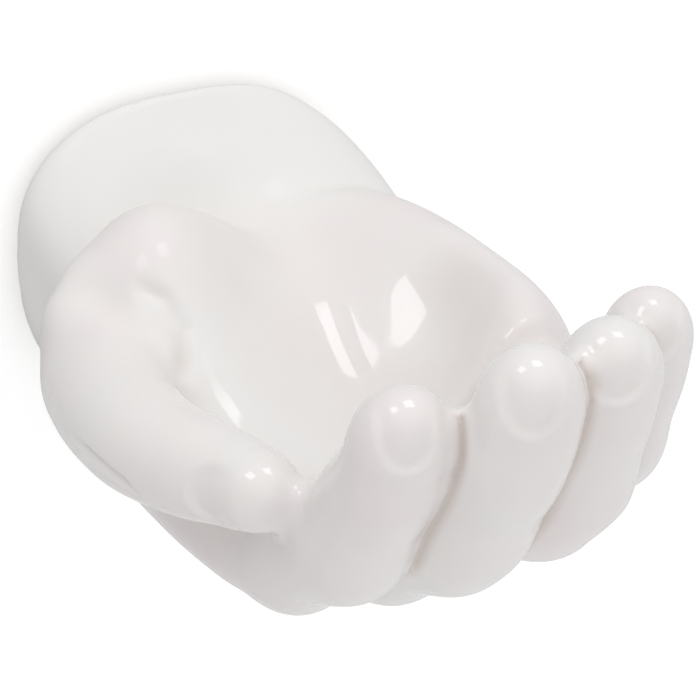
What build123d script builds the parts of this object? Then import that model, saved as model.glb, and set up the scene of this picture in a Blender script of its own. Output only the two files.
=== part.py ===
"""A wall-hung ceramic right hand, palm up and cupped, on a steel hook plate.

Millimetres, +Z up. The wall is the plane Y = 0, the hand stands out from it along -Y, and +X is the
little-finger side. The origin is the middle of the oval rim, on the wall.
"""

import os
from math import cos, radians, sin, sqrt

from build123d import *

# Cuff: the squarish oval rim on the wall, and the flare that narrows to the wrist
rim_width = 79.5
rim_height = 69.5
rim_edge = 2.0
oval_power = 2.6
cuff_depth = 25.0
flare_curve = 1.4
flare_shoulder = 6.5
wrist_width = 84.0
wrist_height = 47.0
wrist_x = 7.0
wrist_z = -8.0

# Casting: the wall round the hollow, and where the hollow ends inside the palm
cast_wall = 6.5
hollow_reach = 76.0
hollow_end_width = 26.0
hollow_end_height = 7.0
hollow_end_z = -18.0

# Palm: length from wrist to knuckles, and its skin over the finger roots
palm_length = 79.0
knuckle_skin = 0.8
edge_web = 5.0
wrist_inset = 0.5
wrist_crown = 2.0
heel_swell = 2.5
back_round = 6.5
back_turn = 3.0
bowl_share = 0.55
# Each line: share of the length, the two sides, then the heights of the ball of the thumb, the bowl,
# the outer edge, the back's outer edge, the back's middle and the back's thumb side
heel_line = (0.16, -40.5, 47.5, 25.0, 15.0, 18.0, -28.0, -35.0, -31.5)
palm_line = (0.43, -40.5, 49.0, 19.0, 6.5, 21.0, -27.0, -36.0, -32.5)
bowl_line = (0.72, -38.0, 50.0, 3.0, -4.0, 22.5, -23.0, -35.5, -32.0)
web_line = (0.89, -36.0, 49.5, -2.5, -4.5, 21.5, -19.5, -34.8, -31.2)

# Fingers: root on the knuckle plane, bone lengths, and each bone's bend above the horizontal in degrees
index_root = (-23.0, -17.5)
index_bones = (42.0, 26.0, 10.5)
index_bends = (29.0, 57.0, 69.0)
index_tip_x = -22.0
index_width = 21.0

middle_root = (-3.0, -20.0)
middle_bones = (48.0, 29.5, 17.0)
middle_bends = (28.5, 54.5, 69.0)
middle_tip_x = -1.5
middle_width = 21.5

ring_root = (17.0, -16.3)
ring_bones = (45.5, 28.0, 14.5)
ring_bends = (27.0, 57.5, 72.5)
ring_tip_x = 17.5
ring_width = 21.0

little_root = (34.0, 3.5)
little_bones = (39.0, 19.0, 10.5)
little_bends = (14.0, 66.0, 75.0)
little_tip_x = 32.0
little_width = 18.5

# Limbs: ovals along each finger and the thumb, and the flesh on the palm side of a bent finger
limb_sections = 18
tip_length = 1.3
palm_flesh = 1.6

# Thumb: set into the heel, then laid forward and outward beside the palm
thumb_root_depth = 20.0
thumb_base_depth = 24.0
thumb_reach = 77.0
thumb_root_x = -20.5
thumb_base_x = -33.5
thumb_out_x = -45.0
thumb_end_x = -37.0
thumb_base_z = -2.0
thumb_rise = 13.0
thumb_base_width = 33.0
thumb_knuckle_width = 28.0
thumb_shank_width = 24.5
thumb_pad_width = 21.0
thumb_end_width = 17.0

# Hanger: a flat bar across the open back, cemented in at both ends
bar_height = 10.0
bar_thickness = 3.0
bar_bottom = 4.0
bar_corner = 1.5
bar_end_gap = 0.3
cement_grip = 6.5
cement_depth = 10.0
cement_cover = 1.0
cement_gap = 0.15

# Wall plate: folded sheet that the bar drops onto
sheet = 2.0
lip_height = 7.0
lift_spare = 1.0
bar_play = 0.5
side_gap = 1.5
plate_gap = 1.0
screw_hole = 4.5
screw_margin = 6.0

knuckle_depth = cuff_depth + palm_length
os.makedirs("parts", exist_ok=True)


def write_piece(piece, name):
    """Name a finished piece and write it."""
    piece.part.label = name
    export_step(piece.part, f"parts/{name}.step")


def out_from_wall(depth, x=0.0, z=0.0):
    """The upright plane at a depth in front of the wall: its x is X and its y is Z."""
    return Plane(origin=(x, -depth, z), x_dir=(1, 0, 0), z_dir=(0, -1, 0))


def oval(plane, half_across, half_through, power=2.0):
    """A closed oval on a plane, squarer for a higher power, always begun on the same side."""
    points = []
    for step in range(12):
        right = cos(radians(30 * step))
        up = sin(radians(30 * step))
        stretch = (abs(right) ** power + abs(up) ** power) ** (-1 / power)
        points.append((half_across * right * stretch, half_through * up * stretch))
    with BuildSketch(plane) as outline:
        with BuildLine():
            Spline(*points, periodic=True)
        make_face()
    return outline.sketch


# Hollow: the space inside the cuff and the heel of the palm, open at the wall
def flare(depth):
    """Half width, half height and centre of the cuff's oval at a depth."""
    share = max(0.0, (depth - rim_edge) / (cuff_depth - rim_edge))
    lip = (1 - share) ** flare_curve
    half_width = wrist_width / 2 + (rim_width - wrist_width) / 2 * lip
    half_height = wrist_height / 2 + (rim_height - wrist_height) / 2 * lip
    return half_width, half_height, wrist_x * (1 - lip), wrist_z * (1 - lip)


def hollow_form(shrink):
    """The hollow as a solid, drawn in by a gap on every side."""
    cuff_ovals = []
    for step in range(6):
        depth = cuff_depth * step / 5
        half_width, half_height, x, z = flare(depth)
        inner_width = half_width - cast_wall - shrink
        inner_height = half_height - cast_wall - shrink
        cuff_ovals.append(oval(out_from_wall(depth, x, z), inner_width, inner_height, oval_power))
    palm_ovals = []
    for step in range(5):
        share = step / 4
        depth = cuff_depth + (hollow_reach - cuff_depth) * share
        half_width = inner_width + (hollow_end_width / 2 - inner_width) * share**2
        half_height = inner_height + (hollow_end_height / 2 - inner_height) * share
        z = wrist_z + (hollow_end_z - wrist_z) * share
        palm_ovals.append(oval(out_from_wall(depth, wrist_x, z), half_width, half_height, oval_power))
    with BuildPart() as form:
        loft(cuff_ovals)
        loft(palm_ovals)
    return form


hollow = hollow_form(0)


# Wrist cuff: a thin flat rim, then the flare drawn in to the wrist
flare_ovals = []
for step in range(6):
    flare_share = step / 5
    flare_depth = rim_edge + (cuff_depth - rim_edge) * flare_share
    flare_power = oval_power + flare_shoulder * flare_share * (1 - flare_share) ** 2
    cuff_half_width, cuff_half_height, cuff_x, cuff_z = flare(flare_depth)
    flare_plane = out_from_wall(flare_depth, cuff_x, cuff_z)
    flare_ovals.append(oval(flare_plane, cuff_half_width, cuff_half_height, flare_power))

with BuildPart() as wrist_cuff:
    extrude(oval(out_from_wall(0), rim_width / 2, rim_height / 2, oval_power), amount=rim_edge)
    loft(flare_ovals)
    add(hollow.part, mode=Mode.SUBTRACT)
write_piece(wrist_cuff, "wrist_cuff")


# Palm: outlines across the hand, from the wrist to the knuckle plane
def palm_outline(share, left, right, thumb_ball, bowl, edge, back_edge, back, back_thumb):
    """One outline: the two sides, the ball of the thumb, the bowl, the outer edge and the back."""
    width = right - left
    with BuildSketch(out_from_wall(cuff_depth + palm_length * share)) as outline:
        with BuildLine():
            Spline(
                (left, (thumb_ball + back_thumb) / 2),
                (left + 0.17 * width, thumb_ball),
                (left + bowl_share * width, bowl),
                (right - 0.14 * width, edge),
                (right, (edge + back_edge) / 2),
                (right - 0.20 * width, back_edge),
                (left + 0.45 * width, back),
                (left + 0.14 * width, back_thumb),
                periodic=True,
            )
        make_face()
    return outline.sketch


wrist_top = wrist_z + wrist_height / 2
wrist_back = wrist_z - wrist_height / 2
wrist_line = (
    0,
    wrist_x - wrist_width / 2 + wrist_inset,
    wrist_x + wrist_width / 2 - wrist_inset,
    wrist_top + wrist_crown,
    wrist_top,
    wrist_top - heel_swell,
    wrist_back + back_round,
    wrist_back,
    wrist_back + back_turn,
)
root_half = 0.58
knuckle_line = (
    1,
    index_root[0] - 0.52 * index_width - knuckle_skin,
    little_root[0] + 0.52 * little_width + knuckle_skin,
    index_root[1] + root_half * index_width + knuckle_skin,
    (middle_root[1] + ring_root[1]) / 2 + root_half * middle_width + knuckle_skin,
    little_root[1] + root_half * little_width + knuckle_skin + edge_web,
    (ring_root[1] + little_root[1]) / 2 - root_half * little_width - knuckle_skin,
    middle_root[1] - root_half * middle_width - knuckle_skin,
    index_root[1] - root_half * index_width - knuckle_skin,
)
palm_lines = (wrist_line, heel_line, palm_line, bowl_line, web_line, knuckle_line)
with BuildPart() as palm_form:
    loft([palm_outline(*line) for line in palm_lines])

with BuildPart() as palm_shell:
    add(palm_form.part)
    add(hollow.part, mode=Mode.SUBTRACT)
write_piece(palm_shell, "palm_shell")


# Limbs: the fingers and the thumb are lofted the same way
def reading(share, shares, values):
    """The straight-line reading of a row of values at a share of the way along."""
    for before in range(len(shares) - 1):
        if share <= shares[before + 1]:
            break
    step = (share - shares[before]) / (shares[before + 1] - shares[before])
    return values[before] + (values[before + 1] - values[before]) * step


def limb_form(spine, across, shares, widths, thicknesses):
    """A limb lofted through evenly spaced ovals across its spine, closed by a round end."""
    ovals = []
    for step in range(limb_sections):
        share = step / (limb_sections - 1)
        plane = Plane(origin=spine.position_at(share), x_dir=across, z_dir=spine.tangent_at(share))
        half_width = reading(share, shares, widths) / 2
        half_thickness = reading(share, shares, thicknesses) / 2
        ovals.append(oval(plane, half_width, half_thickness))
    end_ovals = []
    for step in range(5):
        out = 0.245 * step
        shrink = sqrt(1 - out**2)
        end_plane = plane.offset(out * half_thickness * tip_length)
        end_ovals.append(oval(end_plane, half_width * shrink, half_thickness * shrink))
    with BuildPart() as form:
        loft(ovals)
        loft(end_ovals)
    return form


# Fingers: each a chain of three bones from the knuckle plane, in an upright plane
def joints_of(root, bones, bends, tip_x):
    """The knuckle, the two joints and the middle of the fingertip."""
    root_x, root_z = root
    places = [Vector(root_x, -knuckle_depth, root_z)]
    for bone, bend in zip(bones, bends):
        lean = (tip_x - root_x) * bone / sum(bones)
        step = Vector(lean, -bone * cos(radians(bend)), bone * sin(radians(bend)))
        places.append(places[-1] + step)
    return places


def finger_form(places, bones, width):
    """A finger on its joints, thickest at the knuckle and filled out on the palm side of its bend."""
    root, middle, last, tip = places
    first, second, third = bones
    inward = (last - middle).normalized().cross(Vector(1, 0, 0))
    joint = middle + inward * palm_flesh
    shank = (middle + last) * 0.5 + inward * palm_flesh
    end_joint = last + inward * (0.5 * palm_flesh)
    marks = (0, first / 2, first, first + second / 2, first + second, sum(bones) - third / 2, sum(bones))
    shares = [mark / sum(bones) for mark in marks]
    widths = [width * part for part in (1.03, 1.01, 1.02, 1.00, 0.985, 0.975, 0.97)]
    thicknesses = [width * part for part in (1.18, 1.18, 1.04, 0.99, 0.94, 0.925, 0.92)]
    thicknesses[2] += 2.0 * palm_flesh
    thicknesses[3] += 1.4 * palm_flesh
    thicknesses[4] += 0.6 * palm_flesh
    thicknesses[5] += 0.2 * palm_flesh
    with BuildLine():
        spine = Spline(
            root,
            (root + middle) * 0.5,
            joint,
            shank,
            end_joint,
            tip,
            tangents=[(0, -1, 0), (tip - last).normalized()],
        )
    return limb_form(spine, (1, 0, 0), shares, widths, thicknesses)


index_joints = joints_of(index_root, index_bones, index_bends, index_tip_x)
middle_joints = joints_of(middle_root, middle_bones, middle_bends, middle_tip_x)
ring_joints = joints_of(ring_root, ring_bones, ring_bends, ring_tip_x)
little_joints = joints_of(little_root, little_bones, little_bends, little_tip_x)

index_form = finger_form(index_joints, index_bones, index_width)
middle_form = finger_form(middle_joints, middle_bones, middle_width)
ring_form = finger_form(ring_joints, ring_bones, ring_width)
little_form = finger_form(little_joints, little_bones, little_width)

# Neighbours are pressed together: each finger gives way to the one on its thumb side
with BuildPart() as index_finger:
    add(index_form.part)
write_piece(index_finger, "index_finger")

with BuildPart() as middle_finger:
    add(middle_form.part)
    add(index_form.part, mode=Mode.SUBTRACT)
write_piece(middle_finger, "middle_finger")

with BuildPart() as ring_finger:
    add(ring_form.part)
    add(middle_form.part, mode=Mode.SUBTRACT)
write_piece(ring_finger, "ring_finger")

with BuildPart() as little_finger:
    add(little_form.part)
    add(ring_form.part, mode=Mode.SUBTRACT)
write_piece(little_finger, "little_finger")


# Thumb: a thick root sunk in the heel, laid along the hand to the side of the index finger
def thumb_mark(x, share):
    """A point of the thumb's spine at a share of its reach, rising evenly from the base."""
    depth = cuff_depth + thumb_base_depth + thumb_reach * share
    return (x, -depth, thumb_base_z + thumb_rise * share)


thumb_root = (thumb_root_x, -cuff_depth - thumb_root_depth, thumb_base_z)
with BuildLine():
    thumb_spine = Spline(
        thumb_root,
        thumb_mark(thumb_base_x, 0),
        thumb_mark((2 * thumb_out_x + thumb_base_x) / 3, 0.19),
        thumb_mark(thumb_out_x, 0.42),
        thumb_mark(thumb_out_x, 0.62),
        thumb_mark((thumb_out_x + thumb_end_x) / 2, 0.83),
        thumb_mark(thumb_end_x, 1),
    )
thumb_widths = [
    thumb_base_width,
    thumb_base_width,
    thumb_knuckle_width,
    thumb_shank_width,
    (thumb_shank_width + thumb_pad_width) / 2,
    thumb_pad_width,
    thumb_end_width,
]
thumb_shares = [step / (len(thumb_widths) - 1) for step in range(len(thumb_widths))]
thumb_form = limb_form(thumb_spine, (0, 0, 1), thumb_shares, thumb_widths, thumb_widths)

with BuildPart() as thumb:
    add(thumb_form.part)
    add(palm_form.part, mode=Mode.SUBTRACT)
    add(index_finger.part, mode=Mode.SUBTRACT)
write_piece(thumb, "thumb")


# Hanger bar: cut to whole millimetres to span the hollow at its own height, clear of the wall
def hollow_half_width(depth, height):
    """Half the hollow's width about X = 0 at a depth and a height."""
    half_width, half_height, x, z = flare(depth)
    up = abs(height - z) / (half_height - cast_wall)
    return (half_width - cast_wall) * (1 - up**oval_power) ** (1 / oval_power) - abs(x)


bar_middle = bar_bottom + bar_height / 2
bar_front = sheet + bar_play + bar_thickness
bar_half = int(hollow_half_width(bar_front, bar_bottom + bar_height) - bar_end_gap)
with BuildPart() as hanger_bar:
    with Locations((0, -bar_front + bar_thickness / 2, bar_middle)):
        Box(2 * bar_half, bar_thickness, bar_height)
    fillet(hanger_bar.edges().filter_by(Axis.Y), bar_corner)
write_piece(hanger_bar, "hanger_bar")


# Cement: a lump round each end of the bar, filling out to the wall of the hollow
cement_start = bar_half - cement_grip
cement_reach = rim_width / 2 - cement_start
cement_form = hollow_form(cement_gap)
for side, name in ((-1, "bar_cement_left"), (1, "bar_cement_right")):
    cement_place = (side * (cement_start + cement_reach / 2), -rim_edge - cement_depth / 2, bar_middle)
    with BuildPart() as cement:
        with Locations(cement_place):
            Box(cement_reach, cement_depth, bar_height + 2 * cement_cover)
        add(cement_form.part, mode=Mode.INTERSECT)
        add(hanger_bar.part, mode=Mode.SUBTRACT)
    write_piece(cement, name)


# Wall plate: flat on the wall, folded out under the bar and up in front of it
plate_half = cement_start - side_gap
hand_lift = lip_height + lift_spare
hollow_across = plate_half / (rim_width / 2 - cast_wall)
hollow_floor = -(rim_height / 2 - cast_wall) * (1 - hollow_across**oval_power) ** (1 / oval_power)
plate_bottom = hollow_floor + hand_lift + plate_gap
hook_front = bar_front + bar_play
with BuildPart() as wall_plate:
    with BuildSketch(Plane.YZ.offset(-plate_half)):
        with BuildLine():
            Polyline(
                (0, plate_bottom),
                (0, bar_bottom),
                (-hook_front, bar_bottom),
                (-hook_front, bar_bottom + lip_height),
                (-hook_front - sheet, bar_bottom + lip_height),
                (-hook_front - sheet, bar_bottom - sheet),
                (-sheet, bar_bottom - sheet),
                (-sheet, plate_bottom),
                close=True,
            )
        make_face()
    extrude(amount=2 * plate_half)
    with Locations(out_from_wall(sheet, 0, (plate_bottom + bar_bottom - sheet) / 2)):
        with GridLocations(2 * (plate_half - screw_margin), 0, 2, 1):
            Hole(screw_hole / 2)
write_piece(wall_plate, "wall_plate")
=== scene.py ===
import bpy
import numpy as np
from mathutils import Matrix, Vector
from mathutils.bvhtree import BVHTree


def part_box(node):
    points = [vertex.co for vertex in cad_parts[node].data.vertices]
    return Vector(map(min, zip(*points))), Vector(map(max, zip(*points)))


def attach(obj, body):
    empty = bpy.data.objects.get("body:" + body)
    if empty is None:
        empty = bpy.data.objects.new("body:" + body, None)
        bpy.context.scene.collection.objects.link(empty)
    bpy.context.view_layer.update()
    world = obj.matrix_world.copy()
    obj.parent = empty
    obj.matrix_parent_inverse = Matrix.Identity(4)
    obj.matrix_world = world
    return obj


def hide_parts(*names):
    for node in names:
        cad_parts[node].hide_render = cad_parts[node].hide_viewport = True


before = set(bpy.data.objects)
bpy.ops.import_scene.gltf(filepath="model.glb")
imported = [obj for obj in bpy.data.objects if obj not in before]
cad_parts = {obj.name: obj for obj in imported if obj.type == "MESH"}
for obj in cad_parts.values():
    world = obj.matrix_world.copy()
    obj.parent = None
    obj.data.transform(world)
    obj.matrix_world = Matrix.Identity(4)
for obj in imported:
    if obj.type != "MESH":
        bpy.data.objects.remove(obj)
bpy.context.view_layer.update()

# Glazed hand: seven slip-cast pieces of white earthenware, luted together while the clay was soft, fired,
# and dipped in one coat of clear glaze that rounds every join between them. The rim's foot, which stands
# on the kiln shelf, and the hollow inside stay bare.
cast_names = (
    "wrist_cuff",
    "palm_shell",
    "thumb",
    "index_finger",
    "middle_finger",
    "ring_finger",
    "little_finger",
)
finger_names = cast_names[3:]
clay_grain = 0.00065
glaze_round = 0.0022
same_point = 0.00001
stroke = 0.5

bpy.ops.object.select_all(action="DESELECT")
for cast_name in cast_names:
    raw_cast = bpy.data.objects.new("raw_" + cast_name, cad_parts[cast_name].data.copy())
    bpy.context.scene.collection.objects.link(raw_cast)
    raw_cast.select_set(True)
    bpy.context.view_layer.objects.active = raw_cast
bpy.ops.object.join()
skin = bpy.context.view_layer.objects.active
skin.name = "glazed_skin"
bpy.ops.object.mode_set(mode="EDIT")
bpy.ops.mesh.select_all(action="SELECT")
bpy.ops.mesh.remove_doubles(threshold=same_point)
bpy.ops.object.mode_set(mode="OBJECT")


def work_clay(kind, **settings):
    """Add one modifier to the skin, set it and apply it."""
    step = skin.modifiers.new(kind, kind)
    for setting, value in settings.items():
        setattr(step, setting, value)
    bpy.ops.object.modifier_apply(modifier=step.name)


def read_points(mesh, field="co"):
    """A mesh's points, or their normals, as an array."""
    flat = np.empty(len(mesh.vertices) * 3)
    mesh.vertices.foreach_get(field, flat)
    return flat.reshape(-1, 3)


def mark_clay(name, weights):
    """A vertex group that says how strongly each point takes the next step."""
    faintest = 0.0002
    group = skin.vertex_groups.new(name=name)
    for point in np.nonzero(weights > faintest)[0]:
        group.add([int(point)], float(weights[point]), "REPLACE")


def ease(share):
    """0 below 0, 1 above 1 and a smooth step between."""
    share = np.clip(share, 0, 1)
    return share * share * (3 - 2 * share)


def rise(values, start, run):
    """0 up to a start, 1 from a run further on."""
    return ease((values - start) / run)


def band(values, middle, half_width):
    """1 in the middle of a band, 0 at its edges."""
    return ease(1 - np.abs(values - middle) / half_width)


# The glaze fills the sharp joins: the skin is swelled, closed over and drawn back
work_clay("REMESH", mode="VOXEL", voxel_size=clay_grain)
work_clay("DISPLACE", strength=glaze_round, mid_level=0)
work_clay("REMESH", mode="VOXEL", voxel_size=clay_grain)
work_clay("SMOOTH", factor=stroke, iterations=6)
work_clay("DISPLACE", strength=-glaze_round, mid_level=0)
work_clay("REMESH", mode="VOXEL", voxel_size=clay_grain)
work_clay("SMOOTH", factor=stroke, iterations=12)


def move_points(places):
    """Put the skin's points at new places."""
    skin.data.vertices.foreach_set("co", places.ravel())
    skin.data.update()


def sponge(weights, sweeps):
    """Smooth the clay where the weights say, with a soft edge that leaves no ring."""
    soft_edge = 3
    mark_clay("sponged", weights**soft_edge)
    work_clay("SMOOTH", factor=stroke, iterations=sweeps, vertex_group="sponged")
    skin.vertex_groups.clear()


def within(spot, reach):
    """How near each point of the skin is to a spot: 1 there, 0 at the reach."""
    return ease(1 - np.linalg.norm(read_points(skin.data) - np.array(spot), axis=1) / reach)


def grab(spot, reach, shift):
    """Pull the clay round a spot, fading out at the reach."""
    move_points(read_points(skin.data) + within(spot, reach)[:, None] * np.array(shift))


def flatten(spot, facing, reach):
    """Press the clay round a spot towards a flat face, where it already faces much that way."""
    faces_well = 0.4
    facing = np.array(facing) / np.linalg.norm(facing)
    points = read_points(skin.data)
    turned = ease(read_points(skin.data, "normal") @ facing / faces_well)
    above = (points - np.array(spot)) @ facing
    move_points(points - (turned * within(spot, reach) * above)[:, None] * facing)


def carve(line, half_width, depth):
    """Draw a rounded tool along a line of spots on the skin, lifting it towards both ends."""
    lifted_share = 0.25
    buried_share = 0.2
    far_off = 1.0
    points = read_points(skin.data)
    normals = read_points(skin.data, "normal")
    nearest = np.full(len(points), far_off)
    strength = np.zeros(len(points))
    lengths = [0.0]
    for first, last in zip(line, line[1:]):
        lengths.append(lengths[-1] + float(np.linalg.norm(np.subtract(last, first))))
    for first, last, walked in zip(line, line[1:], lengths):
        run = np.subtract(last, first)
        along = np.clip((points - np.array(first)) @ run / (run @ run), 0, 1)
        gap = points - np.array(first) - along[:, None] * run
        sunk = np.einsum("ij,ij->i", gap, normals)
        aside = np.sqrt(np.maximum(np.einsum("ij,ij->i", gap, gap) - sunk**2, 0))
        aside += buried_share * np.abs(sunk)
        closer = aside < nearest
        nearest = np.where(closer, aside, nearest)
        share = (walked + along * np.linalg.norm(run)) / lengths[-1]
        pressure = ease(share / lifted_share) * ease((1 - share) / lifted_share)
        strength = np.where(closer, pressure, strength)
    cut = depth * strength * np.exp(-((nearest / half_width) ** 2))
    move_points(points - cut[:, None] * normals)


# Where the fingers meet: as near to one raw cast as to its neighbour, on the outer side of the hand
finger_roots = -0.106
outer_side = np.array((0, -0.8, -0.6))
least_outward = -0.3
join_width = 0.0014
join_reach = 0.006
join_fade = 0.002
points = read_points(skin.data)
faces_out = read_points(skin.data, "normal") @ outer_side > least_outward
on_fingers = (points[:, 1] < finger_roots) & faces_out


def gaps_to(cast_name, spots):
    """How far each spot lies from one raw cast."""
    cast_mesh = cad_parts[cast_name].data
    corners = [corner.co for corner in cast_mesh.vertices]
    cast_tree = BVHTree.FromPolygons(corners, [face.vertices for face in cast_mesh.polygons])
    return np.array([cast_tree.find_nearest(Vector(spot))[3] for spot in spots])


finger_gaps = [gaps_to(finger, points[on_fingers]) for finger in finger_names]
join_line = np.zeros(len(points))
for one_side, other_side in zip(finger_gaps, finger_gaps[1:]):
    nearby = ease((join_reach - np.maximum(one_side, other_side)) / join_fade)
    line = nearby * np.exp(-(((one_side - other_side) / join_width) ** 2))
    join_line[on_fingers] = np.maximum(join_line[on_fingers], line)

# The knuckles are sponged smooth: the middle and the half width of their band
knuckle_band = (-0.103, 0.022)
sponge(band(points[:, 1], *knuckle_band), 90)

# The ball of the thumb is filled, and the wrist and the palm's right half are lowered to a flat slope.
# Each pull has its spot, its reach and its shift.
ball_of_thumb = (
    ((-0.024, -0.052, 0.019), 0.022, (0, 0, 0.0025)),
    ((-0.040, -0.041, 0.008), 0.016, (-0.003, 0, 0.001)),
    ((-0.041, -0.043, 0.015), 0.016, (-0.003, 0, 0.0025)),
    ((-0.012, -0.042, 0.024), 0.027, (0, 0, 0.0043)),
)
wrist_and_palm = (
    ((-0.010, -0.023, 0.016), 0.018, (0, 0, -0.0045)),
    ((0.001, -0.025, 0.016), 0.017, (0, 0, -0.003)),
    ((0.010, -0.040, 0.015), 0.020, (0, 0, -0.0025)),
    ((0.010, -0.070, 0.003), 0.024, (0.003, 0, 0)),
)
for pull in ball_of_thumb + wrist_and_palm:
    grab(*pull)
palm_slope_spot = (0.024, -0.0735, 0.007)
palm_slope_facing = (-0.42, -0.445, 0.79)
palm_slope_reach = 0.027
flatten(palm_slope_spot, palm_slope_facing, palm_slope_reach)

# The heel, the palm and the web of the thumb are sponged, on the palm's side only
heel_band = (-0.050, 0.040)
heel_side = (-0.006, 0.008)
palm_band = (-0.070, 0.045)
palm_side = (-0.010, 0.008)
right_of_thumb = (-0.026, 0.012)
web_spot = (-0.027, -0.062, 0.016)
web_reach = 0.026
across, depth, height = read_points(skin.data).T
sponge(band(depth, *heel_band) * rise(height, *heel_side), 40)
sponge(band(depth, *palm_band) * (rise(height, *palm_side) * rise(across, *right_of_thumb)), 80)
sponge(within(web_spot, web_reach), 150)

# The middle and ring fingers are filled out at their knuckles, and the middle one's tip leans to the index
finger_pulls = (
    ((0.0005, -0.160, 0.006), 0.014, (0.0015, 0, -0.0005)),
    ((0.0205, -0.160, 0.012), 0.016, (0.0028, -0.0005, -0.0022)),
    ((-0.001, -0.172, 0.048), 0.016, (-0.0012, 0, 0.001)),
)
for pull in finger_pulls:
    grab(*pull)

# Folds: between the ball of the thumb and the palm, and under the thumb
web_fold = (
    (-0.0340, -0.0540, 0.0210),
    (-0.0281, -0.0605, 0.0176),
    (-0.0265, -0.0658, 0.0129),
    (-0.0290, -0.0723, 0.0087),
    (-0.0312, -0.0762, 0.0064),
)
web_fold_half_width = 0.0021
web_fold_depth = 0.0016
thumb_fold = (
    (-0.0571, -0.0800, 0.0030),
    (-0.0570, -0.0902, 0.0040),
    (-0.0564, -0.0952, 0.0042),
    (-0.0544, -0.1033, 0.0036),
    (-0.0511, -0.1081, 0.0009),
)
thumb_fold_half_width = 0.0014
thumb_fold_depth = 0.0018
carve(web_fold, web_fold_half_width, web_fold_depth)
carve(thumb_fold, thumb_fold_half_width, thumb_fold_depth)

# The joins between the fingers are drawn in once more with a fine tool
edges = np.empty(len(skin.data.edges) * 2, int)
skin.data.edges.foreach_get("vertices", edges)
edges = edges.reshape(-1, 2)
neighbours = np.bincount(edges.ravel(), minlength=len(skin.data.vertices))


def mean_of_neighbours(values):
    """Each point's value, averaged over the points that it is joined to."""
    total = np.bincount(edges[:, 0], values[edges[:, 1]], len(neighbours))
    total += np.bincount(edges[:, 1], values[edges[:, 0]], len(neighbours))
    return total / np.maximum(neighbours, 1)


def hollows(sweeps):
    """How far each point of the skin lies below its neighbours, evened out by some sweeps."""
    places = read_points(skin.data)
    around = np.column_stack([mean_of_neighbours(places[:, axis]) for axis in range(3)])
    depths = np.einsum("ij,ij->i", around - places, read_points(skin.data, "normal")) / clay_grain
    for sweep in range(sweeps):
        depths = 0.5 * depths + 0.5 * mean_of_neighbours(depths)
    return depths


crease_depth = 0.0009
creases = (crease_depth * join_line)[:, None] * read_points(skin.data, "normal")
move_points(read_points(skin.data) - creases)
work_clay("SMOOTH", factor=stroke, iterations=2)

# Nails: each is set into its fingertip behind a ledge that fades out towards the free edge.
# A nail has the middle of its root's arc, the way it grows, the way it faces, and its half width.
nails = {
    "index": ((-0.0246, -0.1664, 0.0400), (0.0, -0.358, 0.934), (-0.24, -0.907, -0.347), 0.0049),
    "middle": ((-0.0056, -0.1778, 0.0480), (0.0, -0.358, 0.934), (-0.24, -0.907, -0.347), 0.0051),
    "ring": ((0.0147, -0.1725, 0.0475), (0.0, -0.301, 0.954), (-0.24, -0.926, -0.292), 0.0056),
    "little": ((0.0300, -0.1590, 0.0455), (0.0, -0.259, 0.966), (-0.24, -0.938, -0.251), 0.0048),
    "thumb": ((-0.0457, -0.1264, 0.0102), (0.42, -0.89, 0.15), (-0.86, -0.48, -0.08), 0.0062),
}
ledge_width = 0.0022
nail_depth = 0.0011
nail_bed = 0.008
nail_bed_fade = 0.004
free_edge = 0.006
free_edge_fade = 0.009
pressed = np.zeros(len(skin.data.vertices))
for middle, growing, facing, half_width in nails.values():
    growing = np.array(growing) / np.linalg.norm(growing)
    sideways = np.cross(growing, facing)
    sideways = sideways / np.linalg.norm(sideways)
    offsets = read_points(skin.data) - np.array(middle)
    along = offsets @ growing
    from_edge = np.hypot(offsets @ sideways, np.minimum(along, 0)) - half_width
    on_nail = ease((nail_bed - np.abs(offsets @ np.cross(sideways, growing))) / nail_bed_fade)
    inside = ease(0.5 - from_edge / ledge_width) * ease((free_edge - along) / free_edge_fade)
    pressed = np.maximum(pressed, on_nail * inside)
mark_clay("nails", pressed)
work_clay("DISPLACE", strength=-nail_depth, mid_level=0, vertex_group="nails")
work_clay("SMOOTH", factor=stroke, iterations=2, vertex_group="nails")
skin.vertex_groups.clear()
bpy.ops.object.shade_smooth()


def keep_mark(name, values):
    """Keep one value for each point of the skin under a name, for its material."""
    mark = skin.data.attributes.new(name, "FLOAT", "POINT")
    mark.data.foreach_set("value", values)


# Painted shade and glaze in the joins: points that lie below their neighbours, in hollows and creases, are
# tinted brown as painted shade, and the joins between the fingers take the brown of the glaze that pools in
# them
hollow_shade_sweeps = 25
full_hollow_shade = 0.12
join_pool = 0.8
points = read_points(skin.data)
normals = read_points(skin.data, "normal")
keep_mark("hollow_shade_and_join_glaze", np.maximum(ease(hollows(hollow_shade_sweeps) / full_hollow_shade), join_pool * join_line))

# Where the clay stays bare: the rim's foot, and the hollow, whose points see both the open back and a wall
foot_height = 0.0016
foot_fade = 0.0008
hollow_share = 0.47
hollow_end = -0.1
hollow_width = 0.09
foot = ease((points[:, 1] + foot_height) / foot_fade)
skin_tree = BVHTree.FromPolygons(
    [corner.co for corner in skin.data.vertices], [face.vertices for face in skin.data.polygons]
)
rim_low, rim_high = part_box("wrist_cuff")
across_rim = np.hypot(
    (points[:, 0] - (rim_low[0] + rim_high[0]) / 2) / (rim_high[0] - rim_low[0]),
    (points[:, 2] - (rim_low[2] + rim_high[2]) / 2) / (rim_high[2] - rim_low[2]),
)
for point in np.nonzero((across_rim < hollow_share) & (points[:, 1] > hollow_end))[0]:
    outward = Vector(normals[point])
    start = Vector(points[point]) + outward * clay_grain
    open_behind = skin_tree.ray_cast(start, Vector((0, 1, 0)))[0] is None
    if open_behind and skin_tree.ray_cast(start, outward, hollow_width)[0] is not None:
        foot[point] = 1
keep_mark("bare_clay", foot)

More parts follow.
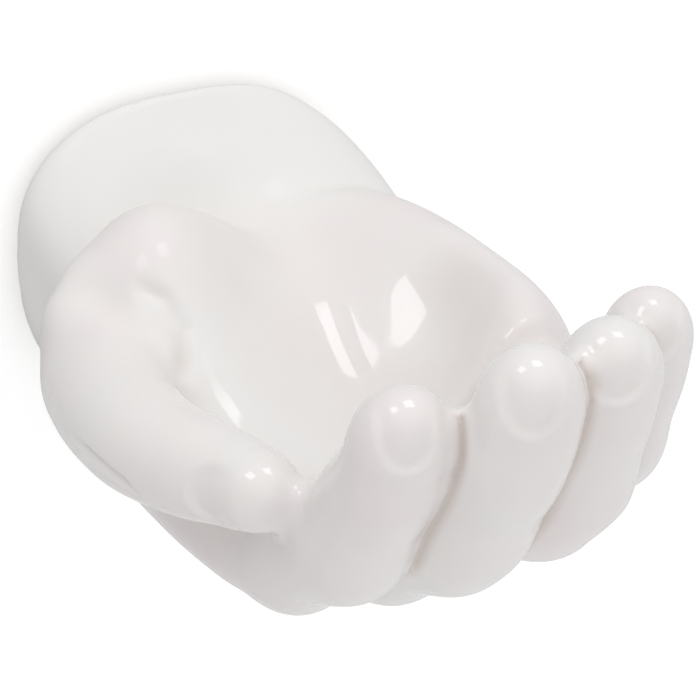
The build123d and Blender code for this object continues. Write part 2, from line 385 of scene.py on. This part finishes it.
# The glaze ran thin on the cuff and round the thumb's root, so that it is satin there and glossy elsewhere
satin = 0.85
thin_cuff = (-0.062, 0.016)
thumb_root = (-0.028, -0.064, 0.013)
thumb_root_reach = 0.030
thumb_root_gain = 1.6
thin_root = ease(thumb_root_gain * within(thumb_root, thumb_root_reach))
keep_mark("glaze_matt", np.maximum(foot, satin * np.maximum(rise(points[:, 1], *thin_cuff), thin_root)))

# The hand is a little warmer in colour than its cuff
cuff_end = -0.022
warming = 0.025
keep_mark("hand_warmth", ease((cuff_end - points[:, 1]) / warming))
skin_normal = skin.data.attributes.new("skin_normal", "FLOAT_VECTOR", "POINT")
skin_normal.data.foreach_set("vector", normals.ravel())


def new_material(name):
    """A new material, its tree of nodes and its shader."""
    material = bpy.data.materials.new(name)
    material.use_nodes = True
    return material, material.node_tree, material.node_tree.nodes["Principled BSDF"]


def dress(mesh, material):
    """Give a mesh one material all over."""
    mesh.materials.clear()
    mesh.materials.append(material)


def add_node(tree, kind, **inputs):
    """One more node of a material, with its inputs set or linked by name."""
    node = tree.nodes.new(kind)
    for label, value in inputs.items():
        socket = node.inputs[label.replace("_", " ")]
        if isinstance(value, bpy.types.NodeSocket):
            tree.links.new(value, socket)
        else:
            socket.default_value = value
    return node


def read_mark(tree, name):
    """The value that the skin keeps under a name."""
    node = tree.nodes.new("ShaderNodeAttribute")
    node.attribute_name = name
    return node.outputs["Fac"]


def combine(tree, operation, first, second):
    """One value made of two by a math operation."""
    node = tree.nodes.new("ShaderNodeMath")
    node.operation = operation
    tree.links.new(first, node.inputs[0])
    tree.links.new(second, node.inputs[1])
    return node.outputs[0]


def mix_colours(tree, share, first, second):
    """A colour between two others, by a share from 0 to 1."""
    mix = tree.nodes.new("ShaderNodeMix")
    mix.data_type = "RGBA"
    tree.links.new(share, mix.inputs[0])
    for index, value in ((6, first), (7, second)):
        if isinstance(value, bpy.types.NodeSocket):
            tree.links.new(value, mix.inputs[index])
        else:
            mix.inputs[index].default_value = value
    return mix.outputs[2]


# The glaze is a clear coat over satin clay: white, clouded with a faint blush, brown in the joins where it
# pools, and brown in the hollows as painted shade
glaze_white = (0.80, 0.79, 0.775, 1)
glaze_blush = (0.79, 0.742, 0.735, 1)
# One brown for painted shade in the hollows and for the glaze pooled in the joins
shade_and_join_brown = (0.50, 0.39, 0.32, 1)
bare_cream = (0.76, 0.72, 0.66, 1)

glaze, tree, shader = new_material("white_glaze")
place = add_node(tree, "ShaderNodeTexCoord").outputs["Object"]
clouds = add_node(tree, "ShaderNodeTexNoise", Vector=place, Scale=26.0, Detail=3.0)
cloud_share = add_node(tree, "ShaderNodeMapRange", Value=clouds.outputs[0], From_Min=0.3, From_Max=0.65)
warm_share = add_node(tree, "ShaderNodeMapRange", Value=read_mark(tree, "hand_warmth"), To_Min=0.15)
blush = combine(tree, "MULTIPLY", cloud_share.outputs[0], warm_share.outputs[0])
# Painted shade: the brown in the hollows stands in for shade; the brown in the joins is the glaze pooled
# there
shade_and_join_tint = add_node(tree, "ShaderNodeMapRange", Value=read_mark(tree, "hollow_shade_and_join_glaze"), To_Max=0.75)
glazed = mix_colours(tree, blush, glaze_white, glaze_blush)
shaded_and_joined = mix_colours(tree, shade_and_join_tint.outputs[0], glazed, shade_and_join_brown)
finish = mix_colours(tree, read_mark(tree, "bare_clay"), shaded_and_joined, bare_cream)
tree.links.new(finish, shader.inputs["Base Color"])
matt = read_mark(tree, "glaze_matt")
rough = add_node(tree, "ShaderNodeMapRange", Value=matt, To_Min=0.4, To_Max=0.7)
tree.links.new(rough.outputs[0], shader.inputs["Roughness"])
shader.inputs["Specular IOR Level"].default_value = 0.2
shader.inputs["Coat Roughness"].default_value = 0.05
gloss = add_node(tree, "ShaderNodeMapRange", Value=matt, To_Min=1.0, To_Max=0.0)
tree.links.new(gloss.outputs[0], shader.inputs["Coat Weight"])
waves = add_node(tree, "ShaderNodeTexNoise", Vector=place, Scale=55.0, Detail=1.0)
bump = add_node(tree, "ShaderNodeBump", Height=waves.outputs[0], Strength=0.06, Distance=0.001)
tree.links.new(bump.outputs[0], shader.inputs["Normal"])
tree.links.new(bump.outputs[0], shader.inputs["Coat Normal"])
dress(skin.data, glaze)

# The skin is parted where the casts were luted, so that each cast keeps its own piece.
# The thumb's join follows its bed on the palm: a point is the thumb's where that cast is the nearest.
thumb_right = -0.022
thumb_back = -0.028
thumb_front = -0.142
join_sweeps = 20
across, depth, height = points.T
beside_thumb = (across < thumb_right) & (depth < thumb_back) & (depth > thumb_front)
spots = points[beside_thumb]
of_thumb = np.zeros(len(points))
of_thumb[beside_thumb] = gaps_to("thumb", spots) < np.minimum(
    gaps_to("palm_shell", spots), gaps_to("index_finger", spots)
)
for sweep in range(join_sweeps):
    of_thumb = mean_of_neighbours(of_thumb)
face_corners = np.empty(len(skin.data.loops), int)
skin.data.loops.foreach_get("vertex_index", face_corners)
face_starts = np.empty(len(skin.data.polygons), int)
skin.data.polygons.foreach_get("loop_start", face_starts)
thumb_faces = np.minimum.reduceat(of_thumb[face_corners], face_starts) > 0.5


def select_open_edges():
    """Select only the edges at which the mesh in edit mode is open."""
    bpy.ops.mesh.select_all(action="DESELECT")
    bpy.ops.mesh.select_non_manifold(
        use_wire=False, use_multi_face=False, use_non_contiguous=False, use_verts=False
    )


def close_cut(cast):
    """Close a cast's open edges with a fan of faces to the middle of each."""
    bpy.ops.object.select_all(action="DESELECT")
    cast.select_set(True)
    bpy.context.view_layer.objects.active = cast
    bpy.ops.object.mode_set(mode="EDIT")
    bpy.ops.mesh.select_mode(type="EDGE")
    select_open_edges()
    bpy.ops.mesh.extrude_edges_move()
    bpy.ops.mesh.merge(type="COLLAPSE")
    bpy.ops.object.mode_set(mode="OBJECT")


bpy.ops.object.mode_set(mode="EDIT")
bpy.ops.mesh.select_mode(type="FACE")
bpy.ops.mesh.select_all(action="DESELECT")
bpy.ops.object.mode_set(mode="OBJECT")
skin.data.polygons.foreach_set("select", thumb_faces)
bpy.ops.object.mode_set(mode="EDIT")
bpy.ops.mesh.separate(type="SELECTED")
bpy.ops.object.mode_set(mode="OBJECT")
thumb_cast = next(cast for cast in bpy.context.selected_objects if cast != skin)
close_cut(thumb_cast)
close_cut(skin)

# The other casts are cut apart by flat planes: each has a spot and the side that stays
sharp_cut = 0.00001
cuff_join = (0, -0.025, 0)
knuckle_join = (0, -0.104, 0)
finger_joins = (
    ((-0.01243, -0.132, -0.001), (0.998, -0.037, 0.003)),
    ((0.00807, -0.140, 0.007), (0.997, 0.057, 0.044)),
    ((0.02655, -0.144, 0.0177), (0.968, 0.174, 0.181)),
)
cuts = {
    "wrist_cuff": [(cuff_join, (0, 1, 0))],
    "palm_shell": [(cuff_join, (0, -1, 0)), (knuckle_join, (0, 1, 0))],
    "thumb": [],
}
for place_in_row, finger in enumerate(finger_names):
    cuts[finger] = [(knuckle_join, (0, -1, 0))]
    if place_in_row > 0:
        cuts[finger].append(finger_joins[place_in_row - 1])
    if place_in_row < len(finger_joins):
        spot, side = finger_joins[place_in_row]
        cuts[finger].append((spot, tuple(-value for value in side)))

along_skin = 0.3
shortest_normal = 1e-6
for cast_name, planes in cuts.items():
    parent = thumb_cast if cast_name == "thumb" else skin
    cast = bpy.data.objects.new("glazed_" + cast_name, parent.data.copy())
    bpy.context.scene.collection.objects.link(cast)
    bpy.ops.object.select_all(action="DESELECT")
    cast.select_set(True)
    bpy.context.view_layer.objects.active = cast
    bpy.ops.object.mode_set(mode="EDIT")
    bpy.ops.mesh.select_mode(type="EDGE")
    for spot, side in planes:
        bpy.ops.mesh.select_all(action="SELECT")
        bpy.ops.mesh.bisect(plane_co=spot, plane_no=side, clear_inner=True, threshold=sharp_cut)
        select_open_edges()
        bpy.ops.mesh.fill(use_beauty=False)
    bpy.ops.mesh.select_all(action="SELECT")
    bpy.ops.mesh.normals_make_consistent(inside=False)
    bpy.ops.object.mode_set(mode="OBJECT")

    # The uncut skin's normals stay on the glaze, so that no seam shows, and the cuts stay flat
    flat = np.empty(len(cast.data.vertices) * 3)
    cast.data.attributes["skin_normal"].data.foreach_get("vector", flat)
    corner_points = np.empty(len(cast.data.loops), int)
    cast.data.loops.foreach_get("vertex_index", corner_points)
    corner_normals = flat.reshape(-1, 3)[corner_points]
    corner_lengths = np.linalg.norm(corner_normals, axis=1, keepdims=True)
    corner_normals /= np.maximum(corner_lengths, shortest_normal)
    flat = np.empty(len(cast.data.polygons) * 3)
    cast.data.polygons.foreach_get("normal", flat)
    sides = np.empty(len(cast.data.polygons), int)
    cast.data.polygons.foreach_get("loop_total", sides)
    face_normals = np.repeat(flat.reshape(-1, 3), sides, axis=0)
    on_cut = np.einsum("ij,ij->i", corner_normals, face_normals) < along_skin
    shown_normals = np.where(on_cut[:, None], face_normals, corner_normals)
    cast.data.normals_split_custom_set(shown_normals.tolist())
    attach(cast, "hand")
    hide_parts(cast_name)
bpy.data.objects.remove(skin)
bpy.data.objects.remove(thumb_cast)

# Hanger: a zinc-plated flat bar across the hollow, and the folded plate of galvanised steel screwed to the
# wall that it drops onto. Both are cut from strip: fine lines of the rolling run along them, and the zinc
# has dulled in patches.
strip_grain = bpy.data.node_groups.new("strip_grain", "ShaderNodeTree")
for label, kind in (("Stretch", "NodeSocketVector"), ("Patch Scale", "NodeSocketFloat")):
    strip_grain.interface.new_socket(name=label, in_out="INPUT", socket_type=kind)
for label in ("Lines", "Patches"):
    strip_grain.interface.new_socket(name=label, in_out="OUTPUT", socket_type="NodeSocketFloat")
given = strip_grain.nodes.new("NodeGroupInput").outputs
spot_on_strip = add_node(strip_grain, "ShaderNodeTexCoord").outputs["Object"]
stretched = add_node(strip_grain, "ShaderNodeMapping", Vector=spot_on_strip, Scale=given["Stretch"])
rolled = add_node(strip_grain, "ShaderNodeTexNoise", Vector=stretched.outputs[0], Scale=1.0, Detail=4.0)
dulled = add_node(strip_grain, "ShaderNodeTexVoronoi", Vector=spot_on_strip, Scale=given["Patch Scale"])
taken = strip_grain.nodes.new("NodeGroupOutput").inputs
strip_grain.links.new(rolled.outputs[0], taken["Lines"])
strip_grain.links.new(dulled.outputs["Color"], taken["Patches"])

# Each has its dull and its bright zinc, the stretch of its lines, the scale of its patches,
# and its roughness where it is smoothest and where it is roughest
steels = {
    "hanger_bar": ((0.62, 0.62, 0.61, 1), (0.72, 0.72, 0.71, 1), (60, 1500, 1500), 90.0, 0.24, 0.40),
    "wall_plate": ((0.50, 0.51, 0.52, 1), (0.64, 0.65, 0.66, 1), (1500, 1500, 80), 240.0, 0.32, 0.52),
}
for node_name, (dull_zinc, bright_zinc, stretch, patch_scale, smoothest, roughest) in steels.items():
    steel, tree, shader = new_material(node_name + "_zinc")
    shader.inputs["Metallic"].default_value = 1
    grain = tree.nodes.new("ShaderNodeGroup")
    grain.node_tree = strip_grain
    grain.inputs["Stretch"].default_value = stretch
    grain.inputs["Patch Scale"].default_value = patch_scale
    lines = grain.outputs["Lines"]
    zinc = mix_colours(tree, grain.outputs["Patches"], dull_zinc, bright_zinc)
    tree.links.new(zinc, shader.inputs["Base Color"])
    gloss = add_node(tree, "ShaderNodeMapRange", Value=lines, To_Min=smoothest, To_Max=roughest)
    tree.links.new(gloss.outputs[0], shader.inputs["Roughness"])
    ridges = add_node(tree, "ShaderNodeBump", Height=lines, Strength=0.12, Distance=0.0002)
    tree.links.new(ridges.outputs[0], shader.inputs["Normal"])
    dress(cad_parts[node_name].data, steel)

# Cement: two lumps of grey ceramic cement that bed the bar's ends in the cuff. It is trowelled in by hand,
# so it is rough, sandy and a little paler where it dried first.
wet_grey = (0.40, 0.39, 0.37, 1)
dry_grey = (0.58, 0.57, 0.54, 1)
cement, tree, shader = new_material("ceramic_cement")
shader.inputs["Roughness"].default_value = 0.9
place = add_node(tree, "ShaderNodeTexCoord").outputs["Object"]
drying = add_node(tree, "ShaderNodeTexNoise", Vector=place, Scale=220.0, Detail=5.0)
tree.links.new(mix_colours(tree, drying.outputs[0], wet_grey, dry_grey), shader.inputs["Base Color"])
sand = add_node(tree, "ShaderNodeTexNoise", Vector=place, Scale=1400.0, Detail=3.0)
sandy = add_node(tree, "ShaderNodeBump", Height=sand.outputs[0], Strength=0.5, Distance=0.0004)
tree.links.new(sandy.outputs[0], shader.inputs["Normal"])
for node_name in ("bar_cement_left", "bar_cement_right"):
    dress(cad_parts[node_name].data, cement)

# Wall and floor: a white painted wall that the rim lies on, a pale floor below, and low white screens
# round the floor's other sides, far off, so that the room is white from every side.
wall_back = 0.003
floor_top = -0.3
backdrop = 20
half_room = backdrop / 2
screen_height = 5
quarter_turn = 1.5707963
wall_white = (0.85, 0.85, 0.85, 1)
floor_white = (0.91, 0.91, 0.91, 1)
wall_lift = 0.35
floor_lift = 0.36
screen_lift = 0.70


def add_sheet(name, location, rotation=(0, 0, 0)):
    """A square sheet of the room, as wide as the backdrop."""
    bpy.ops.mesh.primitive_plane_add(size=backdrop, location=location, rotation=rotation)
    sheet = bpy.context.view_layer.objects.active
    sheet.name = name
    return sheet


wall = add_sheet("white_wall", (0, wall_back, 0), (quarter_turn, 0, 0))
floor = add_sheet("pale_floor", (0, wall_back - half_room, floor_top))
sheets = [(wall, wall_white, wall_lift, True), (floor, floor_white, floor_lift, False)]
screen_places = (
    ("left_screen", -half_room, -half_room, 1),
    ("right_screen", half_room, -half_room, -1),
    ("front_screen", 0, -backdrop, 2),
)
for screen_name, sideways, out, turns in screen_places:
    facing_in = (quarter_turn, 0, turns * quarter_turn)
    screen = add_sheet(screen_name, (sideways, wall_back + out, 0), facing_in)
    screen.scale = (1, screen_height / backdrop, 1)
    sheets.append((screen, wall_white, screen_lift, True))

# The paint is lifted to white for the camera and clear from behind. That of the wall and the screens is seen
# by the camera, in reflections and through glass, and lets the light of the surround through.
for sheet, sheet_colour, sheet_lift, lets_light_through in sheets:
    paint = bpy.data.materials.new(sheet.name + "_paint")
    paint.use_nodes = True
    tree = paint.node_tree
    tree.nodes.clear()
    ray = tree.nodes.new("ShaderNodeLightPath").outputs
    coat = add_node(tree, "ShaderNodeBsdfDiffuse", Color=sheet_colour)
    level = add_node(tree, "ShaderNodeMapRange", Value=ray["Is Camera Ray"], To_Max=sheet_lift)
    lift = add_node(tree, "ShaderNodeEmission", Color=(1, 1, 1, 1), Strength=level.outputs[0])
    lit = tree.nodes.new("ShaderNodeAddShader")
    tree.links.new(coat.outputs[0], lit.inputs[0])
    tree.links.new(lift.outputs[0], lit.inputs[1])
    hidden = tree.nodes.new("ShaderNodeNewGeometry").outputs["Backfacing"]
    if lets_light_through:
        seen = combine(tree, "MAXIMUM", ray["Is Camera Ray"], ray["Is Glossy Ray"])
        seen = combine(tree, "MAXIMUM", seen, ray["Is Transmission Ray"])
        unseen = add_node(tree, "ShaderNodeMapRange", Value=seen, To_Min=1.0, To_Max=0.0)
        hidden = combine(tree, "MAXIMUM", unseen.outputs[0], hidden)
    clear = tree.nodes.new("ShaderNodeBsdfTransparent")
    blend = add_node(tree, "ShaderNodeMixShader", Fac=hidden)
    tree.links.new(lit.outputs[0], blend.inputs[1])
    tree.links.new(clear.outputs[0], blend.inputs[2])
    output = tree.nodes.new("ShaderNodeOutputMaterial")
    tree.links.new(blend.outputs[0], output.inputs["Surface"])
    sheet.data.materials.append(paint)

# Light: two softboxes overhead, and a pale surround that is brightest in front and above
# and grows dimmer all the way round to the back and below.
bright_side = (0.05, -0.55, 0.83)
dimmest = 0.06
brightest = 1.09
softbox_width = 0.30
softbox_watts = 1.02
softbox_places = {"left_softbox": (-0.49, -0.11, 0.88), "right_softbox": (0.20, -0.11, 0.97)}
world = bpy.data.worlds.new("studio")
world.use_nodes = True
tree = world.node_tree
background = tree.nodes["Background"]
background.inputs["Color"].default_value = (1, 1, 1, 1)
towards = tree.nodes.new("ShaderNodeVectorMath")
towards.operation = "DOT_PRODUCT"
tree.links.new(tree.nodes.new("ShaderNodeTexCoord").outputs["Generated"], towards.inputs[0])
towards.inputs[1].default_value = bright_side
grade = add_node(tree, "ShaderNodeMapRange", Value=towards.outputs["Value"], From_Min=-1.0, From_Max=1.0)
grade.inputs["To Min"].default_value = dimmest
grade.inputs["To Max"].default_value = brightest
tree.links.new(grade.outputs[0], background.inputs["Strength"])
bpy.context.scene.world = world
aim = Vector((-0.0023, -0.095, 0.0172))
for name, spot in softbox_places.items():
    lamp = bpy.data.lights.new(name, "AREA")
    lamp.size = softbox_width
    lamp.energy = softbox_watts
    softbox = bpy.data.objects.new(name, lamp)
    softbox.location = spot
    softbox.rotation_mode = "QUATERNION"
    softbox.rotation_quaternion = (aim - softbox.location).to_track_quat("-Z", "Y")
    bpy.context.scene.collection.objects.link(softbox)

# Camera: a long lens, from the left and above, aimed at the middle of the hand.
camera = bpy.data.objects.new("camera", bpy.data.cameras.new("camera"))
camera.data.sensor_width = 36
camera.data.lens = 167.14
camera.location = (-0.2425, -0.6103, 0.3323)
camera.rotation_mode = "QUATERNION"
camera.rotation_quaternion = (aim - camera.location).to_track_quat("-Z", "Y")
bpy.context.scene.collection.objects.link(camera)
bpy.context.scene.camera = camera
bpy.context.scene.view_settings.view_transform = "Standard"
